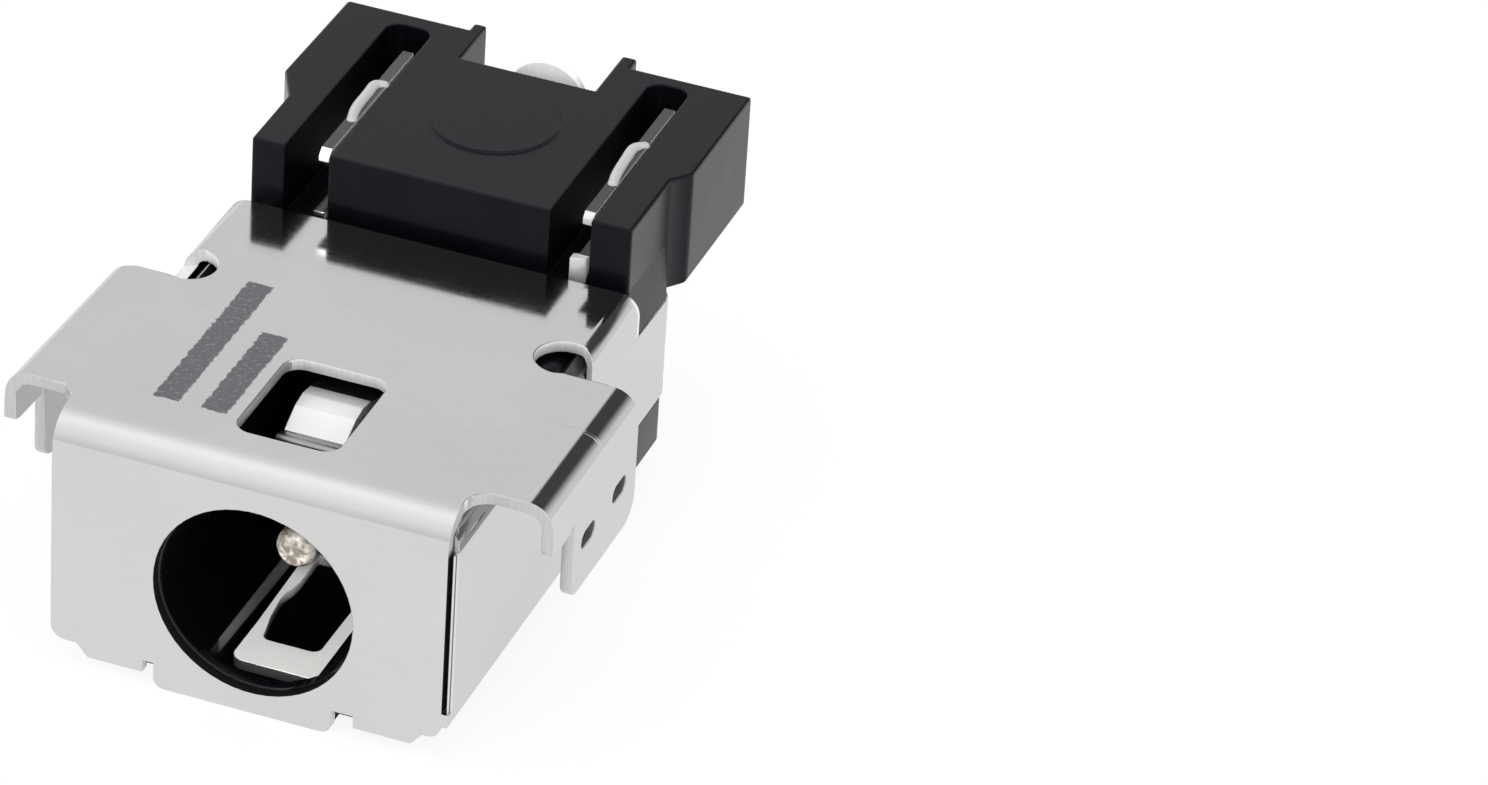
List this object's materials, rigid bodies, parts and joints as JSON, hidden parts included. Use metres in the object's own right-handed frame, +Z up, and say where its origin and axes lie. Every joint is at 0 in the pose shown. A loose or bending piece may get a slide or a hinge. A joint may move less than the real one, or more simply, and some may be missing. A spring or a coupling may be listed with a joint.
{
  "type": "dc barrel jack",
  "caption": "Shielded low-profile DC power jack: round front opening with centre pin, folded metal shield with side wings, black moulded housing and a slotted rear terminal block.",
  "frame": {"origin": "centre of the barrel opening on the outer face of the front plate", "axes": "X across the jack, +Y back into the jack along the barrel, +Z up, the front faces -Y"},
  "size_m": [0.0159, 0.0218, 0.0098],
  "materials": {
    "shield": "satin tin plate on folded sheet steel",
    "housing": "satin black moulded plastic",
    "pin": "dull plated, with a worn tip",
    "terminal": "satin plated",
    "contact": "bright plated spring strip"
  },
  "bodies": {
    "root": {"shield": "shield", "housing": "housing", "centre_pin": "pin", "pin_terminal": "terminal", "upper_contact": "contact", "lower_contact": "contact"}
  },
  "joints": []
}
